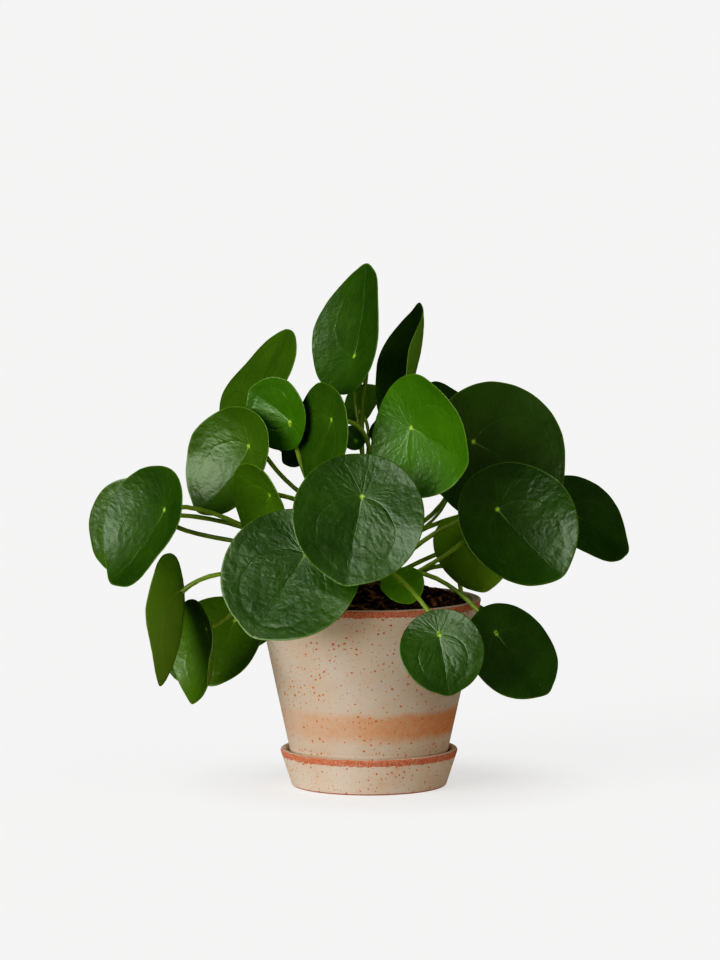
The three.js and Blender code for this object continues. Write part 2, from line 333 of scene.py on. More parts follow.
# The flat blade is laid out in radii from its hub, with u across and v towards the tip. Then it is
# quilted, bent across, twisted, bent from hub to tip, given two faces, and turned into its place.
def makeBladeTree():
    s = leafShape
    tree, given = startTree("leafBlade", {
        "size": "Float", "hubShare": "Float", "across": "Float", "along": "Float", "twist": "Float",
        "roll": "Float", "pitch": "Float", "heading": "Float", "hub": "Vector", "seed": "Float",
        "toneAndGlow": "Float", "rings": "Int", "sides": "Int", "material": "Material",
    })
    radius, seed = given["size"], given["seed"]
    across, along, twist = given["across"], given["along"], given["twist"]
    grid, gridX, gridY = addGrid(tree, given["rings"], given["sides"])
    share = calculate("SINE", gridX * (math.pi / 2) + math.pi / 4)
    angle = gridY * (2 * math.pi)
    sinAngle, cosAngle = sineCosine(angle)
    edge = addNoise(tree, combine(tree, sinAngle, cosAngle, seed), s["notchScale"], 2.0)
    tip = bell(angle / s["tipWidth"]) * s["tipLength"]
    reach = tip + (edge * s["notch"] + (1 - s["notch"] / 2))
    u = share * (reach * sinAngle)
    v = share * (reach * cosAngle * s["length"] + given["hubShare"])
    midrib, mainVein, sideVein = veinsAt(u, v)[:3]

    # the relief of the upper face
    flat = combine(tree, u, v)
    real = vectorMath(tree, "SCALE", flat, radius)
    shifted = vectorMath(tree, "ADD", real, combine(tree, z=seed))
    quilt = addCushions(tree, shifted, 1 / (s["quiltSize"] * mm), 0.35)
    far = Value(vectorMath(tree, "LENGTH", real))
    spread = vectorMath(tree, "SCALE", vectorMath(tree, "NORMALIZE", flat), s["foldsAround"])
    outwards = combine(tree, z=far * (1 / (s["foldLength"] * mm)) + seed)
    folds = addNoise(tree, vectorMath(tree, "ADD", spread, outwards), 1.0, 1.5)
    valley = bell(lesser(sideVein * radius, mainVein * radius) / (s["valleyWidth"] * mm))
    quiltHigh = quilt * (-s["quilt"] * mm) + s["quilt"] * mm / 2
    foldHigh = folds * (s["fold"] * mm) - s["fold"] * mm / 2
    bumps = (quiltHigh + foldHigh) * lesser(far * (1 / (s["calm"] * mm)), 1)
    grooved = valley * (-s["valley"] * mm) + bumps
    # sharp between hub and middle, rounder towards the tip, gone behind the hub
    sharp = s["creaseSharp"] * mm
    creaseWide = greater(v * (s["creaseBlunt"] * mm) + sharp, sharp)
    midribFar = midrib * radius
    creaseFar = calculate("SQRT", creaseWide * creaseWide + midribFar * midribFar)
    creaseRise = calculate("TANH", creaseFar * (1 / (s["creaseWidth"] * mm)))
    relief = creaseRise * clamp(v * 1.5 + 0.4) * (s["crease"] * mm) + grooved
    wave = calculate("SINE", angle * s["rippleWaves"] + radius / mm)
    rise = wave * (share * share * share) * s["ripple"] + relief / radius

    # bent across, twisted, and bent from hub to tip
    acrossSin, acrossCos = sineCosine(across * u)
    bentX = acrossSin / across
    bentZ = (acrossCos - 1) / across + rise
    twistSin, twistCos = sineCosine(twist * v)
    x = bentX * twistCos - bentZ * twistSin
    twistedZ = bentZ * twistCos + bentX * twistSin
    alongSin, alongCos = sineCosine(along * v)
    y = twistedZ * alongSin + alongSin / along
    z = twistedZ * alongCos + (alongCos - 1) / along

    # half the thickness, which closes in a round rim
    rim = greater((share - s["roundRim"]) / (1 - s["roundRim"]), 0)
    rimRoot = calculate("SQRT", greater(1 - rim * rim, 0))
    sheet = store(tree, grid, "bladeFlat", combine(tree, u, v, seed))
    sheet = store(tree, sheet, "bladeFacts", combine(tree, share, given["toneAndGlow"], radius))
    sheet = store(tree, sheet, "half", rimRoot * (s["thickness"] * mm / 2), "FLOAT")
    bent = vectorMath(tree, "SCALE", combine(tree, x, y, z), radius)
    sheet = drawRound(tree, sheet, bent)
    half = addNode(tree, "GeometryNodeInputNamedAttribute", {"Name": "half"}, data_type="FLOAT")
    # the grid's own normal points down, so the lower face keeps it and the upper one is turned round
    down = vectorMath(tree, "SCALE", addNode(tree, "GeometryNodeInputNormal"), half)
    up = vectorMath(tree, "SCALE", down, -1.0)
    lower = shift(tree, sheet, down)
    upper = addNode(tree, "GeometryNodeFlipFaces", {"Mesh": shift(tree, sheet, up)})
    upper = store(tree, upper, "underside", 0.0, "FLOAT", "FACE")
    lower = store(tree, lower, "underside", 1.0, "FLOAT", "FACE")
    closed = addNode(tree, "GeometryNodeMergeByDistance", {
        "Geometry": joinGeometry(tree, upper, lower), "Distance": samePoint})
    rolled = addNode(tree, "GeometryNodeTransform", {
        "Geometry": closed, "Rotation": combine(tree, y=given["roll"])})
    placed = addNode(tree, "GeometryNodeTransform", {
        "Geometry": rolled, "Translation": given["hub"],
        "Rotation": combine(tree, given["pitch"], z=given["heading"])})
    endTree(tree, placed, given["material"])
    return tree


leafSkin = {
    "sway": 0.16,  # how far the veins wander, as a share of the way from the hub
    "swayScale": 3.2,  # in a radius
    "midWidth": (0.38, 0.08),  # mm, half the midrib's width at the hub and its least
    "sideWidth": 0.42,
    "fanWidth": 0.34,
    "hubWidth": 1.35,  # mm, the bright dot over the stalk
    "haloWidth": 5.0,
    "mottleSize": 14,  # mm, patches of lighter and darker green
    "blotchSize": 34,
    "bendSize": 7,  # mm, what bends the puckers and cells
    "puckersAround": 7.5,  # how many puckers in a radian
    "puckerLength": 5.5,  # mm
    "puckerSway": 1.8,
    "puckerCalm": 22,  # mm round the hub over which the puckers grow to their full height
    "puckerHeight": 0.29,  # mm
    "cellSize": 2.1,
    "cellSway": 4.0,
    "cellHeight": 0.09,
    "grainSize": 0.9,
    "grainHeight": 0.03,
    "veinDepth": 0.12,
    "underVeinHeight": 0.25,
    "rimStart": 0.978,  # the pale edge, as a share of the blade
    "rimWidth": 0.016,
    "veinTint": 0.10,  # how strongly the small veins, the halo and the edge are tinted
    "haloTint": 0.22,
    "rimTint": 0.5,
    "midribTint": (0.55, 0.03),  # at the hub, and at least
    "midribFade": 1.5,  # what it loses over a radius
    "mottling": 0.9,  # how strongly the patches differ in colour
    "grainRough": 0.12,
    "underRough": 0.22,  # the underside is rougher by this
}


# Pilea leaf: fleshy, with a smooth wax skin over a finely quilted surface, made from noise and cell
# patterns laid out on the flat blade. The eye sees deep green, a broad satin sheen broken up by the
# quilting, a bright dot over the stalk and pale thin veins, with some blades lightened by a painted glow.
def makeLeafMaterial(name, colours):
    s = leafSkin
    material, tree, shader = startMaterial(name, {"IOR": 1.5})
    flat = readFacts(tree, "bladeFlat")
    under = Value(readFacts(tree, "underside", "Fac"))
    u, v, seed = split(tree, flat)
    share, toneAndGlow, radius = split(tree, readFacts(tree, "bladeFacts"))
    wanderU, wanderV = split(tree, addNoise(tree, flat, s["swayScale"], 1.0, "Color"))[:2]
    far = calculate("SQRT", v * v + u * u)
    sway = far * s["sway"]
    swayHalf = sway * -0.5
    veinU = wanderU * sway + u + swayHalf
    veinV = wanderV * sway + v + swayHalf
    mainVein, sideVein, fan = veinsAt(veinU, veinV)[1:]
    radiusMm = radius / mm
    farMm = far * radiusMm
    widest, narrowest = s["midWidth"]
    # the midrib gets thinner and darker towards the tip, and the small veins fade out
    midLine = bell(mainVein * radiusMm / greater(far * -0.24 + widest, narrowest))
    sideLine = bell(sideVein * radiusMm / s["sideWidth"]) * clamp(veinV * -1.7 + 1.9)
    fanLine = bell(fan * radiusMm / s["fanWidth"]) * greater(1 - far, 0)
    thinLine = greater(sideLine, fanLine)
    hubShare = farMm / s["hubWidth"]
    hubDot = calculate("EXPONENT", hubShare * hubShare * hubShare * -1)
    halo = calculate("EXPONENT", farMm / s["haloWidth"] * -1)

    # the skin's patterns lie in millimetres on the flat blade
    skin = vectorMath(tree, "SCALE", flat, radiusMm)
    mottle = addNoise(tree, skin, 1 / s["mottleSize"], 3.0)
    blotch = addNoise(tree, skin, 1 / s["blotchSize"], 1.0)
    grain = addNoise(tree, skin, 1 / s["grainSize"], 2.0)
    # puckers that run out from the hub, wider and longer towards the edge
    inPlane = vectorMath(tree, "MULTIPLY", flat, (1.0, 1.0, 0.0))
    outwards = vectorMath(tree, "NORMALIZE", inPlane)
    bend = addNoise(tree, skin, 1 / s["bendSize"], 2.0, "Color")
    along = combine(tree, z=farMm * (1 / s["puckerLength"]) + seed)
    swayed = vectorMath(tree, "MULTIPLY_ADD", bend, [s["puckerSway"]] * 3, along)
    around = vectorMath(tree, "MULTIPLY_ADD", outwards, [s["puckersAround"]] * 3, swayed)
    pucker = addCushions(tree, around, 1.0, 0.45) * -s["puckerHeight"]
    bent = vectorMath(tree, "MULTIPLY_ADD", bend, [s["cellSway"]] * 3, skin)
    cells = addCushions(tree, bent, 1 / s["cellSize"], 0.4) * -s["cellHeight"]

    puckered = pucker * lesser(farMm / s["puckerCalm"], 1) + cells
    grained = grain * s["grainHeight"] + puckered
    veined = thinLine * -s["veinDepth"] + (midLine * -s["veinDepth"] + grained)
    high = thinLine * under * s["underVeinHeight"] + veined * (1 - under)
    grainRough = grain * s["grainRough"] + (colours["roughness"] - s["grainRough"] / 2)
    rough = under * s["underRough"] + grainRough
    tint = blotch * s["mottling"] + (mottle * s["mottling"] - 0.25) - 0.25
    hubTint, leastTint = s["midribTint"]
    green = blend(tree, tint, colours["deep"], colours["fresh"])
    for factor, colour in (
        (thinLine * s["veinTint"], "vein"),
        (halo * s["haloTint"], "halo"),
        (midLine * greater(far * -s["midribFade"] + hubTint, leastTint), "midrib"),
        (clamp((share - s["rimStart"]) / s["rimWidth"]) * s["rimTint"], "rim"),
    ):
        green = blend(tree, factor, green, colours[colour])
    lower = blend(tree, thinLine, colours["under"], colours["underVein"])
    # the tone mixes in the light green: partly the leaf's own colour, partly painted light standing in for
    # light through the blade and on shaded leaves
    toneAndGlowMixed = blend(tree, toneAndGlow, blend(tree, under, green, lower), colours["light"])
    dress(tree, shader, blend(tree, hubDot, toneAndGlowMixed, colours["hub"]), high, rough)
    return material


# each row has the leaf's name, its hub in mm, its radius in mm, its turn and bend in degrees, the
# hub's offset in radii, and the stalk's start height, rise, lead, reach, lift and swing, all as on
# the solid plant
leafRows = [
    # the crown
    ("crown_tall", [-9, 5, 268], 40, [-44, 67, -13], [-27, -12, 7], 0.39, [190, 53, 75, 20, -2, -42]),
    ("crown_left", [-72, 45, 241], 35, [-37, 44, -18], [-4, -8, 6], 0.35, [160, 48, 47, 27, 0, -7]),
    ("young_left", [-49, 4, 227], 23.5, [47, 38, -94], [-14, -24, -9], 0.37, [141, 33, 58, 3, -4, -12]),
    ("crown_narrow", [-23, -25, 231], 32, [22, -60, -95], [-11, -12, -5], 0.35, [164, 80, 14, 40, 0, -5]),
    ("crown_folded", [25, 18, 247], 38.5, [-51, 60, -25], [-45, -22, -1], 0.36, [175, 32, 68, 18, 0, -16]),
    ("bud_back", [-6, 50, 230], 14, [-87, 49, -50], [-25, -8, 0], 0.3, [188, 69, 17, 19, 0, -7]),
    ("bud_right", [11, 22, 216], 15, [-61, 10, 41], [-10, 0, 0], 0.33, [157, 42, 18, 28, 0, 7]),
    ("bud_front", [-8, 4, 215], 8, [37, 49, -50], [-30, -5, 0], 0.3, [147, 49, 17, 33, -1, -35]),
    # the right side
    ("right_bright", [26, -38, 227], 40, [-132, -19, 84], [-39, -10, -5], 0.35, [176, 58, 28, 21, 0, -2]),
    ("right_large", [65, 12, 214], 44.5, [-68, -29, 85], [-3, -13, -2], 0.36, [147, 15, 90, 37, -1, 25]),
    ("right_cupped", [79, -32, 176], 40.5, [-79, -51, 75], [-42, -21, 2], 0.37, [120, 53, 54, 36, 0, 0]),
    ("right_far", [127, 35, 167], 32, [-72, -33, 47], [-12, 1, 4], 0.35, [138, 33, 67, 36, 24, 29]),
    ("right_hidden", [47, 44, 231], 19, [-25, 19, 42], [0, 5, 0], 0.35, [163, 46, 46, 26, 0, 22]),
    ("right_inner", [50, 22, 179], 16, [-102, -47, 11], [-20, 0, 0], 0.36, [145, 14, 49, 6, -3, 7]),
    ("right_under", [59, 0, 153], 25.5, [-66, -68, -38], [-11, -3, -1], 0.35, [114, 41, 20, 32, 0, -22]),
    # the left side
    ("left_glossy", [-75, 15, 211], 37.5, [45, -63, -86], [-44, -34, -3], 0.37, [160, 16, 87, 22, -2, -22]),
    ("left_small", [-61, -42, 186], 28.5, [12, -34, -114], [-22, -22, -5], 0.36, [144, 41, 59, 7, -2, 5]),
    ("left_inner", [-37, 25, 212], 15, [83, -41, -45], [-10, -5, 0], 0.33, [154, 39, 35, 24, 0, -30]),
    ("left_outer", [-126, -34, 176], 40, [51, -62, -70], [-39, -21, -4], 0.39, [117, 29, 72, 26, 12, -29]),
    ("left_far", [-140, 8, 167], 30, [72, -34, -74], [-19, 8, -4], 0.35, [118, 38, 81, 38, 10, -5]),
    # the front
    ("front_high", [-4.5, -84, 189], 40.4, [157, -64, -22], [-12, 0, 2], 0.35, [150, 50, 40, 20, 0, 0]),
    ("front_large", [-39, -76, 153], 42.5, [124, -52, -44], [-10, -4, -2], 0.39, [133, 42, 38, 24, 2, 2]),
    ("front_young", [19, -50, 133], 14, [-152, -39, 30], [-31, 0, 6], 0.32, [113, 42, 22, 22, 0, 3]),
    # leaves that hang past the rim
    ("low_front", [42.5, -88, 105], 25.7, [-159, -66, 21], [-2, 6, 11], 0.4, [128, 28, 75, 16, 18, -28]),
    ("low_right", [78, -52, 101], 31.5, [-95, -53, 46], [4, -7, 2], 0.46, [123, 40, 53, 14, 17, -6]),
    ("low_left_edge", [-116, -41, 126], 40.5, [-153, -72, 130], [-32, -26, 5], 0.42,
     [115, 15, 79, 24, 14, -14]),
    ("low_left_cupped", [-101, -10, 99], 33.5, [-58, -74, -176], [-43, -35, -4], 0.41,
     [114, 33, 75, 34, 0, -12]),
    ("low_left_wide", [-85, 58, 95.5], 34.5, [153, -42, 0], [-36, 12, 2], 0.36, [122, 46, 70, 26, 4, -45]),
    ("low_left_back", [-106, 88, 86], 25, [112, -68, -25], [-15, -10, 0], 0.38, [120, 32, 72, 18, 34, -8]),
    # the back
    ("back_middle", [-6, 82, 172], 37, [-10, -55, -6], [-12, -6, 0], 0.36, [146, 47, 39, 23, 0, 1]),
    ("back_high", [30, 63, 221], 29, [-27, -40, -6], [-15, -8, 0], 0.36, [167, 54, 35, 18, 0, 0]),
    ("back_left", [-74, 70, 218], 26, [58, -44, 13], [-18, -8, 0], 0.36, [159, 49, 39, 17, 4, 3]),
    ("back_low_left", [-41, 89, 145], 27, [37, -68, 17], [-14, -8, 0], 0.36, [128, 44, 43, 20, 5, 4]),
    ("back_right", [86, 64, 155], 25, [-61, -54, -19], [-16, -8, 0], 0.36, [124, 20, 69, 18, 4, 5]),
    ("back_hanging_right", [60, 68, 92], 27, [-45, -66, -14], [-14, -10, 0], 0.36,
     [112, 36, 92, 10, 20, -29]),
    ("back_hanging_left", [-68, 102, 99], 24.5, [46, -69, 9], [-14, -10, 0], 0.36, [118, 45, 42, 13, 8, -1]),
    ("back_crown", [-13, 32, 262], 19, [-6, -17, -19], [-20, -8, 0], 0.36, [188, 72, 24, 12, 0, 0]),
    ("back_far_left", [-136, 42, 170], 21, [76, -32, 20], [-16, -8, 0], 0.36, [124, 31, 68, 33, 0, -1]),
    ("back_high_right", [80, 74, 215.5], 29, [-66, -43, -15], [-14, -8, 0], 0.36, [159, 46, 44, 21, 2, -2]),
    ("back_far_right", [125, 76, 175], 20, [-78, -35, -21], [-14, -8, 0], 0.36, [156, 73, 65, 26, 24, 9]),
    ("back_hanging_middle", [-20, 100, 108], 28, [1, -66, -5], [-12, -8, 0], 0.36, [119, 44, 43, 13, 8, 2]),
]

leafToneAndPaintedGlow = {  # how far a leaf's green is lightened, 0 where it isn't named: partly the leaf's own lighter green, partly painted light, a glow as of light through the blade that also brightens leaves sitting in shade
    "crown_left": 0.14, "crown_narrow": 0.05, "crown_folded": 0.2, "bud_back": 0.2,
    "right_large": 0.06, "right_inner": 0.2, "right_under": 1.0, "left_glossy": 0.14,
    "left_small": 0.2, "left_far": 0.09, "front_young": 0.9, "low_left_edge": 0.4,
    "low_left_cupped": 0.2, "low_left_wide": 0.3,
}


def leaf(place, hub, radius, turn, bend, share, stalk):
    return {"place": place, "hub": Vector(hub), "size": radius, "share": share, "stalk": stalk,
            "turn": [math.radians(a) for a in turn], "bend": [math.radians(a) or 1e-3 for a in bend],
            "toneAndGlow": leafToneAndPaintedGlow.get(place, 0.0)}


leaves = [leaf(*row) for row in leafRows]
youngLeaves = ("young_left", "right_bright", "front_young", "bud_back", "bud_front")
# light is the green that the tones mix in, partly a young leaf's own colour and partly a painted glow
leafColours = {
    "deep": "#27450b", "fresh": "#3a5d0d", "light": "#7aa014", "vein": "#5d8a30", "midrib": "#a3c070",
    "halo": "#4f7814", "rim": "#5f801c", "under": "#527a10", "underVein": "#6b9420", "hub": "#a5cc3c",
    "roughness": 0.36,
}
youngColours = {
    **leafColours, "deep": "#3a6408", "fresh": "#4a780c", "light": "#6a9c1c", "under": "#5f8a14",
}
leafMaterials = {
    "leaf": makeLeafMaterial("waxyMatureLeaf", leafColours),
    "young_leaf": makeLeafMaterial("waxyYoungLeaf", youngColours),
}
bladeTree = makeBladeTree()
for number, item in enumerate(leaves):
    slot = "young_leaf" if item["place"] in youngLeaves else "leaf"
    small = item["size"] < leafShape["smallSize"]
    growPiece("blade_" + item["place"], bladeTree, {
        "size": item["size"] * mm, "hubShare": item["share"],
        "across": item["bend"][0], "along": item["bend"][1], "twist": item["bend"][2],
        "heading": item["turn"][0], "pitch": item["turn"][1], "roll": item["turn"][2],
        "hub": item["hub"] * mm, "seed": 1.7 + 3.1 * number, "toneAndGlow": item["toneAndGlow"],
        "rings": leafShape["smallRings" if small else "rings"],
        "sides": leafShape["smallSides" if small else "sides"],
        "material": leafMaterials[slot],
    }, bpy.data.meshes.new("seedling"), "leaf_" + item["place"])
print("blades grown:", len(leaves))

# ---- stem and leaf stalks ----
stalkShape = {
    "radius": 1.5,  # mm, halfway along a stalk
    "youngRadius": 0.72,  # share of it for the stalks of small leaves
    "youngSize": 20,  # mm, leaves up to this radius are small
    "clearance": 0.35,  # mm from the blade's mid-surface to the stalk's end
    "stemRadius": 4.4,
    "stemPoints": [(0, 0, 72), (0, 0, 108), (2, 1, 122), (2, 1, 150), (-2, 0, 176), (-3, 0, 192)],
    "waist": 0.96,  # share of the radius where a stalk is thinnest
    "footFlare": 0.5,  # what is added to that share at the stem and under the blade
    "headFlare": 0.35,
    "footFade": 14,  # how fast the flares fade along the stalk
    "headFade": 30,
    "knobs": 0.5,  # mm, unevenness of the skin
    "knobScale": 190.0,  # in a metre, as are the next two
    "streakScale": 260.0,
    "patchScale": 45.0,
    "green": ("#68822a", "#a6c648"),
    "wood": ("#3c2a18", "#7a5a36"),
    "steps": 40,
    "sides": 14,
}


def stemAt(height):
    points = [Vector(p) for p in stalkShape["stemPoints"]]
    above = next(i for i, p in enumerate(points) if p.z >= height)
    low, high = points[above - 1], points[above]
    return low.lerp(high, (height - low.z) / (high.z - low.z))


def stalkHandles(item):
    height, rise, lead, reach, lift, swing = item["stalk"]
    start = stemAt(height)
    away = item["hub"] - start
    heading = math.atan2(away.y, away.x) + math.radians(swing)
    slope = math.radians(rise)
    leaving = Vector((
        math.cos(slope) * math.cos(heading), math.cos(slope) * math.sin(heading), math.sin(slope)))
    turn = (Euler((0, 0, item["turn"][0])).to_matrix() @ Euler((item["turn"][1], 0, 0)).to_matrix()
            @ Euler((0, item["turn"][2], 0)).to_matrix())
    upper = turn @ Vector((0, 0, 1))
    approach = upper * -reach + Vector((0, 0, lift))
    end = item["hub"] - upper * stalkShape["clearance"]
    return start, start + leaving * lead, item["hub"] + approach, end


def makeStalkCurves():
    curve = bpy.data.curves.new("stalkLines", "CURVE")
    curve.dimensions = "3D"
    for item in leaves:
        start, first, last, end = stalkHandles(item)
        spline = curve.splines.new("BEZIER")
        spline.bezier_points.add(1)
        for point, place, handle in zip(spline.bezier_points, (start, end), (first, last)):
            point.co = place * mm
            point.handle_left = point.handle_right = handle * mm
            point.radius = 1.0 if item["size"] > stalkShape["youngSize"] else stalkShape["youngRadius"]
    stem = curve.splines.new("POLY")
    stem.points.add(len(stalkShape["stemPoints"]) - 1)
    for point, place in zip(stem.points, stalkShape["stemPoints"]):
        point.co = (*(Vector(place) * mm), 1)
        point.radius = stalkShape["stemRadius"] / stalkShape["radius"]
    return curve


# each line becomes a tapered tube: thick where it leaves the stem, a little flared under the blade
def makeStalkTree():
    s = stalkShape
    tree, given = startTree("stalks", {"lines": "Geometry", "radius": "Float", "material": "Material"})
    lines = addNode(tree, "GeometryNodeResampleCurve", {"Curve": given["lines"], "Count": s["steps"]})
    along = Value(addNode(tree, "GeometryNodeSplineParameter").outputs["Factor"])
    own = Value(addNode(tree, "GeometryNodeInputRadius"))
    foot = calculate("EXPONENT", along * -s["footFade"]) * s["footFlare"]
    head = calculate("EXPONENT", along * s["headFade"] - s["headFade"]) * s["headFlare"]
    flare = head + (foot + s["waist"])
    woody = own > 2  # only the stem is that thick
    wide = own * given["radius"] * (flare * (1 - woody) + woody)
    lines = store(tree, lines, "stalkFacts", combine(tree, along, woody))
    profile = addNode(tree, "GeometryNodeCurvePrimitiveCircle", {"Resolution": s["sides"], "Radius": 1.0})
    tube = addNode(tree, "GeometryNodeCurveToMesh", {
        "Curve": lines, "Profile Curve": profile, "Scale": wide, "Fill Caps": True})
    wobble = addNoise(tree, addNode(tree, "GeometryNodeInputPosition"), s["knobScale"], 2.0)
    knob = wobble * (s["knobs"] * mm) - s["knobs"] * mm / 2
    push = vectorMath(tree, "SCALE", addNode(tree, "GeometryNodeInputNormal"), knob)
    endTree(tree, shift(tree, tube, push), given["material"])
    return tree


# Pilea stalk: smooth and fleshy, made from two noises and the way along the stalk. The eye sees
# olive to yellow green, browner and corky towards the stem, with a slight sheen.
def makeStalkMaterial():
    s = stalkShape
    material, tree, shader = startMaterial("fleshyStalk", {"IOR": 1.42, "Roughness": 0.42})
    along, woody = split(tree, readFacts(tree, "stalkFacts"))[:2]
    place = addNode(tree, "ShaderNodeTexCoord").outputs["Object"]
    streak = addNoise(tree, place, s["streakScale"], 3.0)
    patch = addNoise(tree, place, s["patchScale"], 2.0)
    green = blend(tree, patch * 1.6 - 0.3, *s["green"])
    wood = blend(tree, streak * 1.4 - 0.2, *s["wood"])
    brown = greater(greater(along * -9 + 0.85, 0), woody)
    dress(tree, shader, blend(tree, brown, green, wood), streak * (woody * 0.5 + 0.08))
    return material


growPiece("stem_with_stalks", makeStalkTree(), {
    "radius": stalkShape["radius"] * mm, "material": makeStalkMaterial()},
    makeStalkCurves(), "stem_and_leaf_stalks")
print("stalks grown")

# ---- pot and saucer ----
potShape = {"rimRadius": 70, "baseRadius": 45.7, "bottom": 5.3, "top": 117.4, "wall": 5, "floor": 7,
            "taper": 1.5, "drain": 7.5, "uneven": 0.12, "even": 10, "sides": 192, "step": 2.2, "arcSteps": 6}
saucerShape = {"rimRadius": 55.7, "baseRadius": 48.2, "top": 23.2, "wall": 4, "floor": 5,
               "taper": 1.2, "middle": 0.02, "uneven": 0.10}


# corners are (radius, height, rounding); each is rounded by an arc between its two neighbours
def roundOutline(corners):
    outline = []
    for number, (r, z, radius) in enumerate(corners):
        point = Vector((r, z))
        before = Vector(corners[number - 1][:2])
        after = Vector(corners[(number + 1) % len(corners)][:2])
        if radius == 0:
            outline.append(point)
            continue
        toBefore, toAfter = (before - point).normalized(), (after - point).normalized()
        half = toBefore.angle(toAfter) / 2
        cut = radius / math.tan(half)
        centre = point + (toBefore + toAfter).normalized() * (radius / math.sin(half))
        first, last = point + toBefore * cut - centre, point + toAfter * cut - centre
        for step in range(potShape["arcSteps"] + 1):
            spoke = first.lerp(last, step / potShape["arcSteps"]).normalized() * radius
            outline.append(centre + spoke)
    longer = []
    for here, there in zip(outline, outline[1:] + outline[:1]):
        pieces = max(1, round((there - here).length / potShape["step"]))
        longer += [here.lerp(there, i / pieces) for i in range(pieces)]
    return longer


# turns a closed outline into a ring-shaped body, a little uneven as hand-finished clay is, but even
# near the axis
def turnBody(name, corners, material, replaced, uneven):
    outline = roundOutline(corners)
    sides = potShape["sides"]
    points = []
    for step in range(sides):
        angle = 2 * math.pi * step / sides
        for place in outline:
            wobble = uneven * (
                math.sin(2 * angle + place.y * 0.03) + 0.5 * math.sin(3 * angle - place.y * 0.05))
            radius = (place.x + (wobble if place.x > potShape["even"] else 0)) * mm
            points.append((radius * math.cos(angle), radius * math.sin(angle), place.y * mm))
    count = len(outline)
    faces = []
    for step in range(sides):
        here, there = step * count, (step + 1) % sides * count
        for i in range(count):
            j = (i + 1) % count
            faces.append((here + i, there + i, there + j, here + j))
    mesh = bpy.data.meshes.new(name)
    mesh.from_pydata(points, [], faces)
    mesh.shade_smooth()
    mesh.materials.append(material)
    placePiece(name, mesh, replaced)


clay = {
    "wash": "#d4c3b0", "washWarm": "#cfb69a", "speck": "#c4622a", "band": "#bf5a2d",
    "belt": "#cd8448", "stain": "#d09158", "wallShadeColour": "#9c8b76",
    # mm, the sizes of the noises
    "raggedSize": 2.2, "cloudSize": 26, "gritSize": 0.7, "mottleSize": 3.5, "beltingSize": 18, "straySize": 9,
    "unrollRadius": 58.0,  # mm, the specks are laid out on the unrolled wall
    "spotCell": 3.3,  # mm, each cell may hold one large speck
    "dotCell": 1.5,
    "spotSize": 0.42,  # how much specks vary in size, as a share of their cell
    "dotSize": 0.72,
    "spotSharp": 18,  # how sharp the specks' edges are
    "dotSharp": 6,
    "spotTint": 0.9,  # how strongly specks, bands, painted shade and belt cover the wash
    "dotTint": 0.6,
    "bandTint": (0.4, 0.95),
    "wallShadeTint": 0.22,
    "beltTint": 0.58,
    "beltLean": 0.006,  # how much stronger the belt gets in a millimetre to the right
    "beltSway": 7,  # mm, how far it wanders up and down
    "rimBand": 4.2,  # mm, how far down the wash has worn off
    "jag": 3.2,  # mm, how ragged the bands' lower edges are
    "potEdge": (67.0, 117.0),  # mm, the band lies outside this radius and below this height
    "saucerEdge": (53.0, 22.9),
    "saucerTop": 24,
    "dry": 25,  # mm, only the wall above this gets the painted shade
    "footLine": 0.9,
    "beltLow": 34.5,
    "beltHigh": 56.5,
    "beltSoft": (6.0, 5.0),  # mm over which the belt fades, below and above
    "mottleHeight": 0.16,  # mm
    "gritHeight": 0.05,
    "bandDepth": 0.12,
    "roughness": (0.72, 0.2),  # the least, and how much it varies
}
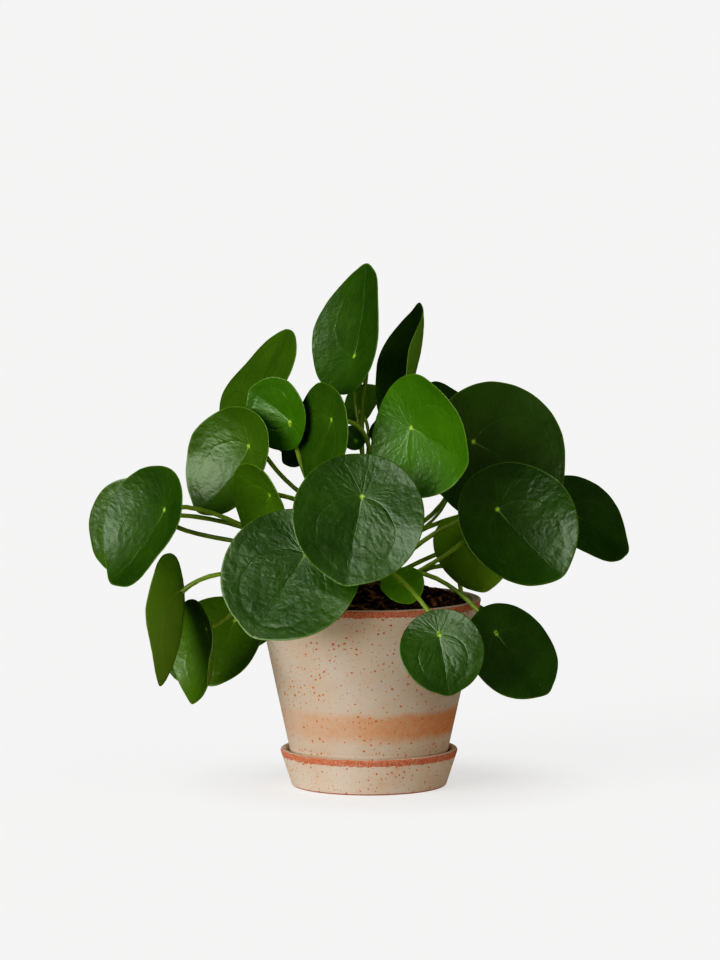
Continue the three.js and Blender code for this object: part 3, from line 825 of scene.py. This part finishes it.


# Fired red clay, thrown and washed with a thin white slip, made from noises in millimetres and from
# cells on the unrolled wall. The eye sees a dry, matt, warm white with the red body showing as specks,
# as worn bands under the rims, and as a soft damp-stained belt low on the pot, with painted shade on the
# wall.
def makeClayMaterial():
    s = clay
    material, tree, shader = startMaterial("whitewashedClay", {"IOR": 1.5})
    place = addNode(tree, "ShaderNodeTexCoord").outputs["Object"]
    inMm = vectorMath(tree, "SCALE", place, 1 / mm)
    x, y, z = split(tree, inMm)
    ragged, cloud, grit, mottle, belting, stray = (
        addNoise(tree, inMm, 1 / s[name + "Size"], detail) for name, detail in (
            ("ragged", 3.0), ("cloud", 3.0), ("grit", 2.0), ("mottle", 4.0), ("belting", 2.0),
            ("stray", 3.0)))

    # specks: a disc round each cell's point, on some of the cells only
    arc = stray * 7.0 + calculate("ARCTAN2", x, y) * s["unrollRadius"]
    unrolled = combine(tree, arc, mottle * -3.0 + z)

    def addCells(cell):
        cells = addNode(tree, "ShaderNodeTexVoronoi", {
            "Vector": unrolled, "Scale": 1 / cell}, voronoi_dimensions="2D")
        luck = split(tree, cells.outputs["Color"])[0]
        return Value(cells.outputs["Distance"]), luck

    spot, spotLuck = addCells(s["spotCell"])
    dot, dotLuck = addCells(s["dotCell"])
    spotEdge = spotLuck * s["spotSize"] + (cloud * 0.30 - 0.33)
    spots = clamp((spotEdge - spot) * s["spotSharp"], 0, s["spotTint"])
    dots = clamp((dotLuck * s["dotSize"] - 0.43 - dot) * s["dotSharp"], 0, s["dotTint"])

    # bands under the two rims, where the wash has flaked off, and a line round the foot
    r = calculate("SQRT", y * y + x * x)
    jag = ragged * s["jag"] - s["jag"] / 2

    def addBand(edge):
        radius, top = edge
        depth = top - z
        return (depth + jag < s["rimBand"]) * (depth > 0.0) * (r > radius)

    saucerBand = addBand(s["saucerEdge"]) * (z < s["saucerTop"])
    bands = greater(greater(addBand(s["potEdge"]), saucerBand), z < s["footLine"])
    bands = bands * clamp(mottle * -0.8 + (grit * 2.0 + 0.25), *s["bandTint"])

    # the belt low on the pot
    beltZ = belting * s["beltSway"] + z
    softLow, softHigh = s["beltSoft"]
    belt = clamp(lesser((s["beltHigh"] - beltZ) / softHigh, (beltZ - s["beltLow"]) / softLow))
    belt = belt * (x * s["beltLean"] + s["beltTint"]) * (mottle * 0.8 + 0.6)

    # painted shade: the wall above 25 mm is darkened, fully up to about 71 mm and less above, gone by about
    # 91 mm, so the top stays lighter where the leaves cast their shadow
    paintedWallShade = (z > s["dry"]) * clamp(z * -0.011 + 1.0, 0.0, s["wallShadeTint"])
    stains = greater(stray * 2.6 - 1.5, 0) * cloud
    wash = blend(tree, cloud * 2.4 - 0.8, s["wash"], s["washWarm"])
    for factor, colour in ((paintedWallShade, "wallShadeColour"), (stains, "stain"), (belt, "belt"),
                           (greater(spots, dots), "speck"), (bands, "band")):
        wash = blend(tree, factor, wash, s[colour])
    high = bands * -s["bandDepth"] + (mottle * s["mottleHeight"] + grit * s["gritHeight"])
    leastRough, roughSpread = s["roughness"]
    dress(tree, shader, wash, high, mottle * roughSpread + leastRough)
    return material


clayMaterial = makeClayMaterial()
s = potShape
inside = s["bottom"] + s["floor"]
turnBody("clay_pot", [
    (s["drain"], s["bottom"], 0.8),
    (s["baseRadius"], s["bottom"], 1.2),
    (s["rimRadius"], s["top"], 1.1),
    (s["rimRadius"] - s["wall"], s["top"], 1.2),
    (s["baseRadius"] - s["wall"] + s["taper"], inside, 2.0),
    (s["drain"], inside, 0.8),
], clayMaterial, "pot", s["uneven"])
s = saucerShape
turnBody("clay_saucer", [
    (s["middle"], 0, 0),
    (s["baseRadius"], 0, 1.6),
    (s["rimRadius"], s["top"], 1.2),
    (s["rimRadius"] - s["wall"], s["top"], 1.4),
    (s["baseRadius"] - s["taper"], s["floor"], 2.5),
    (s["middle"], s["floor"], 0),
], clayMaterial, "saucer", s["uneven"])
print("pot and saucer turned")

# ---- soil ----
soilShape = {
    "radius": 63.4,
    "edge": 113.6,  # mm, where it meets the pot
    "heap": 12.5,  # how much higher it is round the stem
    "lumps": 7.0,
    "lumpScale": 70.0,  # in a metre, as are the other scales
    "mounds": 5.0,
    "moundScale": 22.0,
    "dryScale": 170.0,
    "grainScale": 900.0,
    "grainHeight": 0.5,  # mm
    "earth": ("#1c120b", "#9a7048"),  # moist and dry
    "bare": 4.5,  # mm along the wall with nothing strewn on it, though some long fibres reach across
    "crumbSize": 2.8,
    "chipSize": 6.5,
    "rings": 80,
    "sides": 220,
}
anyTilt = ((-0.6, -0.6, 0.0), (0.6, 0.6, 6.28))
# what is strewn on it: pieces in a square metre, sizes as shares of the crumb or chip size, how the
# lump is stretched and dented, and the tilts it may lie at, in radians
strewn = [
    {"seed": 3, "density": 80000.0, "size": "crumbSize", "sizes": (0.5, 1.9),
     "stretch": (1.0, 0.8, 0.75), "dents": 0.55, "tilts": anyTilt},
    {"seed": 7, "density": 34000.0, "size": "chipSize", "sizes": (0.5, 1.5),
     "stretch": (1.0, 0.36, 0.16), "dents": 0.55, "tilts": anyTilt},
    {"seed": 11, "density": 12000.0, "size": "chipSize", "sizes": (0.7, 1.7), "fibre": True,
     "stretch": (1.0, 1.0, 1.0), "dents": 0.9, "tilts": ((1.3, -0.5, 0.0), (1.8, 0.5, 6.28))},
]


# a lump of one kind on each of some random points of the ground
def strew(tree, ground, within, kind, fullSize):
    spots = addNode(tree, "GeometryNodeDistributePointsOnFaces", {
        "Mesh": ground, "Selection": within, "Density": kind["density"], "Seed": kind["seed"]})
    if "fibre" in kind:
        lump = addNode(tree, "GeometryNodeMeshCylinder", {
            "Vertices": 5, "Side Segments": 5, "Radius": 0.035, "Depth": 2.6})
    else:
        lump = addNode(tree, "GeometryNodeMeshIcoSphere", {"Radius": 0.5, "Subdivisions": 2})
    rough = addNoise(tree, addNode(tree, "GeometryNodeInputPosition"), 2.3, 2.0, "Color")
    pushed = vectorMath(tree, "SUBTRACT", rough, (0.5, 0.5, 0.5))
    pushed = vectorMath(tree, "SCALE", pushed, kind["dents"])
    lump = addNode(tree, "GeometryNodeTransform", {
        "Geometry": shift(tree, lump, pushed), "Scale": kind["stretch"]})
    lowTilt, highTilt = kind["tilts"]
    tilt = addNode(tree, "FunctionNodeRandomValue", {
        0: lowTilt, 1: highTilt, "Seed": kind["seed"] + 1}, data_type="FLOAT_VECTOR")
    smallest, largest = kind["sizes"]
    share = Value(addNode(tree, "FunctionNodeRandomValue", {
        "Min": smallest, "Max": largest, "Seed": kind["seed"] + 2}, data_type="FLOAT"))
    return addNode(tree, "GeometryNodeInstanceOnPoints", {
        "Points": spots.outputs["Points"], "Instance": lump, "Rotation": tilt,
        "Scale": share * fullSize})


def makeSoilTree():
    s = soilShape
    tree, given = startTree("soil", {"crumbSize": "Float", "chipSize": "Float", "material": "Material"})
    grid, gridX, gridY = addGrid(tree, s["rings"], s["sides"])
    share = gridX + 0.5
    angle = gridY * (-2 * math.pi)
    r = share * (s["radius"] * mm)
    sinAngle, cosAngle = sineCosine(angle)
    x, y = r * cosAngle, r * sinAngle
    flat = combine(tree, x, y)
    lump = addNoise(tree, flat, s["lumpScale"], 5.0, roughness=0.62)
    lumpHigh = lump * (s["lumps"] * mm) - s["lumps"] * mm / 2
    mound = addNoise(tree, flat, s["moundScale"], 1.0)
    moundHigh = mound * (s["mounds"] * mm) - s["mounds"] * mm / 2
    squared = share * share
    uneven = (lumpHigh + moundHigh) * (squared * -0.75 + 1.0)  # calmer at the edge
    z = uneven + (squared * (-s["heap"] * mm) + (s["edge"] + s["heap"]) * mm)
    ground = drawRound(tree, grid, combine(tree, x, y, z))
    level = vectorMath(tree, "MULTIPLY", addNode(tree, "GeometryNodeInputPosition"), (1.0, 1.0, 0.0))
    within = Value(vectorMath(tree, "LENGTH", level)) < (s["radius"] - s["bare"]) * mm
    pieces = [strew(tree, ground, within, kind, given[kind["size"]]) for kind in strewn]
    endTree(tree, joinGeometry(tree, ground, *pieces), given["material"])
    return tree


# Potting soil: peat with bark fines, made from a coarse and a fine noise. The eye sees moist, matt
# crumbs, nearly black, and brown where they have dried.
def makeSoilMaterial():
    material, tree, shader = startMaterial("pottingSoil", {"Roughness": 0.93, "IOR": 1.4})
    place = addNode(tree, "ShaderNodeTexCoord").outputs["Object"]
    dry = addNoise(tree, place, soilShape["dryScale"], 3.0) * 5.0 - 2.3
    fine = addNoise(tree, place, soilShape["grainScale"], 2.0)
    dress(tree, shader, blend(tree, dry, *soilShape["earth"]), fine * soilShape["grainHeight"])
    return material


growPiece("potting_soil", makeSoilTree(), {
    "crumbSize": soilShape["crumbSize"] * mm, "chipSize": soilShape["chipSize"] * mm,
    "material": makeSoilMaterial()}, bpy.data.meshes.new("seedbed"), "soil")
print("soil filled")

# ---- floor and light ----
studio = {
    "floor": "#b2b2b2",
    "floorFar": "#6e6e6e",  # darker paper further out, where the painted glow takes over
    "floorBounce": "#dcdcdc",  # what the plant gets back from the paper
    "floorGlow": 0.595,  # the paper glows evenly as well
    "paintedGlowAway": 0.22,  # painted light: more glow away from the plant, which fades the plant's shadow out
    "glowFrom": (13, 0, 0),  # mm, the middle of the darker paper
    "glowReach": (60, 150),  # mm, where the change starts and ends
    "floorReach": 60,  # metres
    "keyTurn": -50,  # degrees from straight in front of the plant, minus is to the left
    "keyRise": 9,
    "keyAngle": 54,  # how large the softbox looks from the plant
    "keyStrength": 3.3,
    # a softbox hung so that only its reflection reaches the plant
    "cardTurn": -36,
    "cardRise": 21,
    "cardAngle": 56,
    "cardStrength": 3.5,
    "fillTurn": 58,  # a white wall to the right of the camera
    "fillRise": -8,
    "fillAngle": 120,
    "fillStrength": 1.15,
    "fillColour": "#fff0dc",
    "skyBright": 0.42,
    "skyDark": 0.40,
    "skyTurn": (-0.35, 0.75),  # where dark ends and bright starts, 1 is straight at the softbox
    # the picture's own contrast: brightness in, brightness out
    "contrast": ((0.0, 0.0), (0.007, 0.0015), (0.021, 0.0085), (0.045, 0.026), (0.13, 0.105), (0.3, 0.29)),
}


def towards(name):
    turn, rise = math.radians(studio[name + "Turn"]), math.radians(studio[name + "Rise"])
    return Vector((math.sin(turn) * math.cos(rise), -math.cos(turn) * math.cos(rise), math.sin(rise)))


def makeFloor():
    s = studio
    material = bpy.data.materials.new("paleFloor")
    tree = emptyTree(material)
    seen = Value(addNode(tree, "ShaderNodeLightPath").outputs["Is Camera Ray"])
    place = addNode(tree, "ShaderNodeTexCoord").outputs["Object"]
    away = vectorMath(tree, "DISTANCE", place, Vector(s["glowFrom"]) * mm)
    near, end = s["glowReach"]
    far = Value(addNode(tree, "ShaderNodeMapRange", {
        "Value": away, "From Min": near * mm, "From Max": end * mm, "To Min": 0.0, "To Max": 1.0},
        interpolation_type="SMOOTHSTEP"))
    paper = blend(tree, seen, s["floorBounce"], blend(tree, far, s["floor"], s["floorFar"]))
    matt = addNode(tree, "ShaderNodeBsdfDiffuse", {"Color": paper})
    # painted light: the paper glows evenly, and more so away from the plant, which fades the plant's shadow
    # on it
    paperGlowWithPaintedLight = seen * far * s["paintedGlowAway"] + seen * s["floorGlow"]
    glow = addNode(tree, "ShaderNodeEmission", {"Strength": paperGlowWithPaintedLight})
    both = addNode(tree, "ShaderNodeAddShader", {0: matt, 1: glow})
    addNode(tree, "ShaderNodeOutputMaterial", {"Surface": both})
    mesh = bpy.data.meshes.new("floor")
    reach = s["floorReach"]
    mesh.from_pydata([(-reach, -reach, 0), (reach, -reach, 0), (reach, reach, 0), (-reach, reach, 0)],
                     [], [(0, 1, 2, 3)])
    mesh.materials.append(material)
    floor = addObject("floor", mesh)
    # black card keeps the paper and the room out of the leaves' sheen
    floor.visible_glossy = False


# a very large and far light, so that it lights the whole floor evenly
def makeLight(name, inSheen, inShade, colour="#ffffff"):
    data = bpy.data.lights.new(name, "SUN")
    data.color = toLinear(colour)[:3]
    data.angle = math.radians(studio[name + "Angle"])
    data.energy = studio[name + "Strength"]
    light = addObject(name, data)
    light.rotation_euler = (-towards(name)).to_track_quat("-Z", "Y").to_euler()
    light.visible_glossy = inSheen
    light.visible_diffuse = inShade


# the room: evenly pale, a touch brighter on the softbox's side, and kept out of the sheen
def makeRoom():
    world = bpy.data.worlds.new("studio")
    bpy.context.scene.world = world
    tree = emptyTree(world)
    outwards = addNode(tree, "ShaderNodeTexCoord").outputs["Generated"]
    facing = vectorMath(tree, "DOT_PRODUCT", outwards, tuple(towards("key")))
    dark, bright = studio["skyTurn"]
    strength = addNode(tree, "ShaderNodeMapRange", {
        "Value": facing, "From Min": dark, "From Max": bright,
        "To Min": studio["skyDark"], "To Max": studio["skyBright"]}, interpolation_type="SMOOTHSTEP")
    background = addNode(tree, "ShaderNodeBackground", {"Strength": strength})
    addNode(tree, "ShaderNodeOutputWorld", {"Surface": background})
    world.cycles_visibility.glossy = False


makeFloor()
makeLight("key", inSheen=False, inShade=True)
makeLight("card", inSheen=True, inShade=False)
makeLight("fill", inSheen=False, inShade=True, colour=studio["fillColour"])
makeRoom()


# plain colours, with the shadows deepened the way the photograph has them
def setPicture():
    look = bpy.context.scene.view_settings
    look.view_transform = "Standard"
    look.use_curve_mapping = True
    curve = look.curve_mapping.curves[3]
    curve.points[0].location = studio["contrast"][0]
    for place in studio["contrast"][1:]:
        curve.points.new(*place)
    look.curve_mapping.update()


setPicture()
print("floor and lights set")
